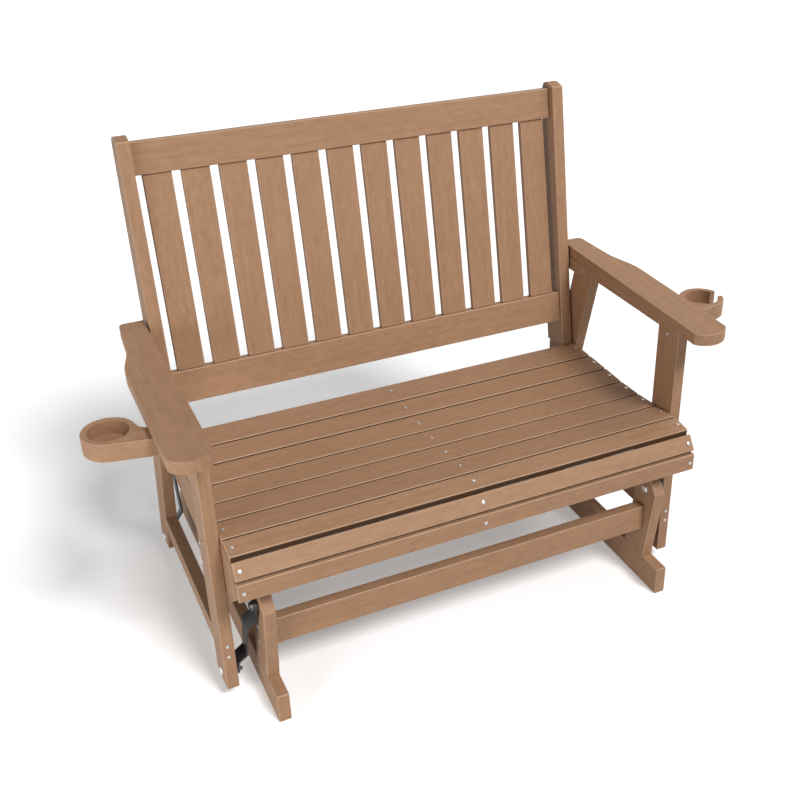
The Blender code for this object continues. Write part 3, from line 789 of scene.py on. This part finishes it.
@dataclass
class Fasteners:
    """Round-headed screws and bolts, modelled once and copied into place."""

    material: bpy.types.Material
    screw_radius: float = 0.0038
    bolt_radius: float = 0.0047
    sides: int = 16
    height_share: float = 0.45
    recess: tuple = ((0.28, 0.35), (0.30, 0.0), (0.10, -0.6))    # shares of radius and height
    crease: float = 35.0
    slat_screw_x: tuple = (-0.483, 0.0, 0.483)
    rear_slat_shift: float = 0.008
    post_outer: float = 0.520
    post_inner: float = 0.495
    post_middle: float = 0.508
    post_front: float = -0.290
    upright_outer: float = 0.448
    seat_rail_yz: tuple = ((-0.2405, 0.357), (-0.237, 0.312))
    arm_rail_yz: tuple = ((-0.253, 0.571), (0.091, 0.581))
    side_rail_z: tuple = (0.1367, 0.1116)
    stretcher_yz: tuple = ((0.310, 0.182), (0.305, 0.1405))

    def build(self, slats: list) -> None:
        """Build every group of fasteners.

        Args:
            slats: The finished seat slats, the rear one first.
        """
        stretcher_yz = [(end * y, z) for end in ENDS.values() for y, z in self.stretcher_yz]
        front = [(Vector((sign * self.post_middle, self.post_front, z)), Vector((0, -1, 0)))
                 for sign in SIDES.values() for z in self.side_rail_z]
        self.group("seat_slat_screws", Body.SEAT, self.screw_radius, self.slat_places(slats))
        self.group("seat_rail_bolts", Body.SEAT, self.bolt_radius,
                   self.both_sides(self.post_outer, 1, self.seat_rail_yz))
        self.group("arm_rail_screws", Body.SEAT, self.screw_radius,
                   self.both_sides(self.post_inner, -1, self.arm_rail_yz))
        self.group("side_rail_screws", Body.SEAT, self.screw_radius, front)
        self.group("stretcher_bolts", Body.BASE, self.bolt_radius,
                   self.both_sides(self.upright_outer, 1, stretcher_yz))

    @staticmethod
    def both_sides(x: float, outward: int, places: tuple | list) -> list:
        """Put the same fasteners on the left and right boards.

        Args:
            x: Distance of the boards' faces from the middle.
            outward: 1 where the heads face away from the middle, else -1.
            places: Pairs of Y and Z.

        Returns:
            Pairs of place and outward direction.
        """
        return [(Vector((sign * x, y, z)), Vector((sign * outward, 0, 0)))
                for sign in SIDES.values() for y, z in places]

    def slat_places(self, slats: list) -> list:
        """Find where the slat screws stand.

        Args:
            slats: The finished seat slats, the rear one first.

        Returns:
            Pairs of place and outward direction.
        """
        places = []
        for index, slat in enumerate(slats):
            top = top_face(slat)
            y = top.center.y + (self.rear_slat_shift if index == 0 else 0.0)
            places += [(Vector((x, y, top.center.z)), top.normal.copy()) for x in self.slat_screw_x]
        return places

    def head(self, radius: float) -> bpy.types.Object:
        """Model one round head with a driver recess, standing on the floor.

        Args:
            radius: Radius of the head.

        Returns:
            The head.
        """
        height = radius * self.height_share
        deselect_all()
        bpy.ops.mesh.primitive_cylinder_add(vertices=self.sides, radius=radius, depth=height,
                                            location=(0, 0, height / 2))
        head = bpy.context.object
        apply_all(head)
        bpy.ops.object.mode_set(mode="EDIT")
        bpy.ops.mesh.select_mode(type="FACE")
        bpy.ops.mesh.select_all(action="DESELECT")
        bpy.ops.object.mode_set(mode="OBJECT")
        max(head.data.polygons, key=lambda face: face.center.z).select = True
        bpy.ops.object.mode_set(mode="EDIT")
        for inwards, upwards in self.recess:
            bpy.ops.mesh.inset(thickness=radius * inwards, depth=height * upwards)
        bpy.ops.object.mode_set(mode="OBJECT")
        return head

    def group(self, name: str, body: Body, radius: float, places: list) -> None:
        """Copy a head to each place and join the copies into one piece.

        Args:
            name: Name of the piece.
            body: The body that it rides on.
            radius: Radius of the heads.
            places: Pairs of place and outward direction.
        """
        head = self.head(radius)
        copies = []
        for place, outward in places:
            copy = head.copy()
            copy.data = head.data.copy()
            bpy.context.scene.collection.objects.link(copy)
            turn = outward.to_track_quat("Z", "Y").to_matrix().to_4x4()
            copy.data.transform(Matrix.Translation(place) @ turn)
            copies.append(copy)
        bpy.data.objects.remove(head, do_unlink=True)
        pick(copies[0])
        for copy in copies:
            copy.select_set(True)
        bpy.ops.object.join()
        piece = bpy.context.object
        piece.name = name
        bpy.ops.object.shade_smooth_by_angle(angle=math.radians(self.crease))
        piece.data.materials.clear()
        piece.data.materials.append(self.material)
        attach(piece, body.value)
        LOG.info("%s, %d heads", name, len(places))


@dataclass
class Ironwork:
    """Swing links and pivot bolts, which keep their CAD shapes."""

    link_material: bpy.types.Material
    bolt_material: bpy.types.Material

    def build(self) -> None:
        """Dress the links and the pivots."""
        for side in SIDES:
            for end in ENDS:
                self.dress(f"{side}_{end}_link", self.link_material)
                for level in ("upper", "lower"):
                    self.dress(f"{side}_{end}_{level}_pivot", self.bolt_material)

    def dress(self, node: str, material: bpy.types.Material) -> None:
        """Give a CAD node a material.

        Args:
            node: The CAD node.
            material: Its finish.
        """
        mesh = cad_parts[node].data
        mesh.materials.clear()
        mesh.materials.append(material)
        LOG.info("steel %s", node)


@dataclass(frozen=True)
class Lamp:
    """One square lamp: where it hangs, its watts and the length of its side."""

    name: str
    place: tuple
    power: float
    size: float

    def hang(self, aim: Vector) -> None:
        """Hang the lamp where the camera doesn't see it.

        Args:
            aim: The point that it faces.
        """
        lamp = bpy.data.lights.new(self.name, "AREA")
        lamp.energy = self.power
        lamp.size = self.size
        holder = bpy.data.objects.new(self.name, lamp)
        holder.location = self.place
        holder.rotation_euler = (aim - Vector(self.place)).to_track_quat("-Z", "Y").to_euler()
        holder.visible_camera = False
        bpy.context.scene.collection.objects.link(holder)


@dataclass
class Studio:
    """Camera, lights, floor and sky."""

    camera_place: tuple = (-0.8035, -1.9588, 1.6122)
    camera_turn: tuple = (59.99, 0.0, -26.37)
    lens: float = 50.13
    sensor: float = 36.0
    shift: tuple = (-0.0936, 0.0075)
    clip_end: float = 100.0
    floor_half: float = 14.0
    floor_place: tuple = (0, 0, -0.0005)
    floor_white: tuple = (0.97, 0.97, 0.97, 1.0)
    floor_dull: tuple = (0.6, 0.6, 0.6, 1.0)
    near_lift: float = 0.28
    far_lift: float = 0.5
    lift_start: float = 1.15
    lift_span: float = 0.8
    sky: float = 0.09
    sun_strength: float = 2.35
    sun_turn: float = 16.0
    sun_height: float = 49.0
    sun_softness: float = 16.0
    sun_distance: float = 5.0
    lamp_aim: tuple = (0, 0, 0.4)
    lamps: tuple = (
        Lamp("left_lamp", (-2.3, -1.2, 0.8), 26.0, 1.2),
        Lamp("front_lamp", (0.5, -3.4, 0.4), 7.0, 1.6),
        Lamp("right_lamp", (1.7, -0.5, 2.2), 13.0, 1.0),
    )

    def build(self) -> None:
        """Build the studio."""
        self.place_camera()
        self.lay_floor()
        self.light()

    def place_camera(self) -> None:
        """Put the camera where the photograph was taken from."""
        lens = bpy.data.cameras.new("camera")
        lens.lens = self.lens
        lens.sensor_width = self.sensor
        lens.shift_x, lens.shift_y = self.shift
        lens.clip_end = self.clip_end
        camera = bpy.data.objects.new("camera", lens)
        camera.location = self.camera_place
        camera.rotation_euler = [math.radians(angle) for angle in self.camera_turn]
        bpy.context.scene.collection.objects.link(camera)
        bpy.context.scene.camera = camera

    def lay_floor(self) -> None:
        """Lay a wide white floor that keeps the bench's shadow."""
        deselect_all()
        bpy.ops.mesh.primitive_plane_add(size=2 * self.floor_half, location=self.floor_place)
        floor = bpy.context.object
        floor.name = "studio_floor"
        graph = Graph("studio_floor")
        matt = graph.node("ShaderNodeBsdfDiffuse", {}, {"Color": self.floor_white}).outputs[0]
        dull = graph.node("ShaderNodeBsdfDiffuse", {}, {"Color": self.floor_dull}).outputs[0]
        near = graph.glow("ShaderNodeEmission", self.near_lift)
        far = graph.glow("ShaderNodeEmission", self.far_lift)
        reach = graph.value("ShaderNodeVectorMath", "Value", {"operation": "LENGTH"}, {0: graph.place()})
        away = ((reach - self.lift_start) * (1 / self.lift_span)).clamp()
        lift = graph.mix(away, near, far)
        lifted = graph.node("ShaderNodeAddShader", {}, {0: matt, 1: lift}).outputs[0]
        mixed = graph.mix(self.seen_directly(graph), dull, lifted)
        graph.node("ShaderNodeOutputMaterial", {}, {"Surface": mixed})
        floor.data.materials.append(graph.owner)

    @staticmethod
    def seen_directly(graph: Graph) -> Value:
        """Tell rays from the camera, from gloss and through glass from the rest.

        Args:
            graph: The graph to add to.

        Returns:
            1 for such rays, else 0.
        """
        path = graph.node("ShaderNodeLightPath")
        kinds = ("Camera", "Glossy", "Transmission")
        camera, glossy, through = [Value(graph, path.outputs[f"Is {kind} Ray"]) for kind in kinds]
        return (camera + glossy + through).clamp()

    def light(self) -> None:
        """Light the bench with a white sky, a soft sun and three lamps."""
        graph = Graph("studio_sky", world=True)
        lit = graph.glow("ShaderNodeBackground", self.sky)
        white = graph.glow("ShaderNodeBackground", 1.0)
        mixed = graph.mix(self.seen_directly(graph), lit, white)
        graph.node("ShaderNodeOutputWorld", {}, {"Surface": mixed})
        bpy.context.scene.world = graph.owner
        self.hang_sun()
        for lamp in self.lamps:
            lamp.hang(Vector(self.lamp_aim))

    def hang_sun(self) -> None:
        """Hang the soft key light in front of the bench, a little to its right."""
        turn, height = math.radians(self.sun_turn), math.radians(self.sun_height)
        level = Vector((math.sin(turn), -math.cos(turn), 0)) * math.cos(height)
        source = level + Vector((0, 0, math.sin(height)))
        lamp = bpy.data.lights.new("key_sun", "SUN")
        lamp.energy = self.sun_strength
        lamp.angle = math.radians(self.sun_softness)
        holder = bpy.data.objects.new("key_sun", lamp)
        holder.location = source * self.sun_distance
        holder.rotation_euler = (-source).to_track_quat("-Z", "Y").to_euler()
        bpy.context.scene.collection.objects.link(holder)


def main() -> None:
    """Build every sub-assembly in order."""
    logging.basicConfig(level=logging.INFO)
    bpy.context.scene.view_settings.view_transform = "Standard"
    Studio().build()
    yard = Lumberyard(PolyLumber().build())
    BaseFrame(yard).build()
    SideFrames(yard).build()
    slats = Seat(yard).build()
    Back(yard).build()
    stainless = Stainless()
    bright = stainless.build()
    Ironwork(CoatedSteel().build(), stainless.build(tarnished=True)).build()
    Fasteners(bright).build(slats)


if __name__ == "__main__":
    main()
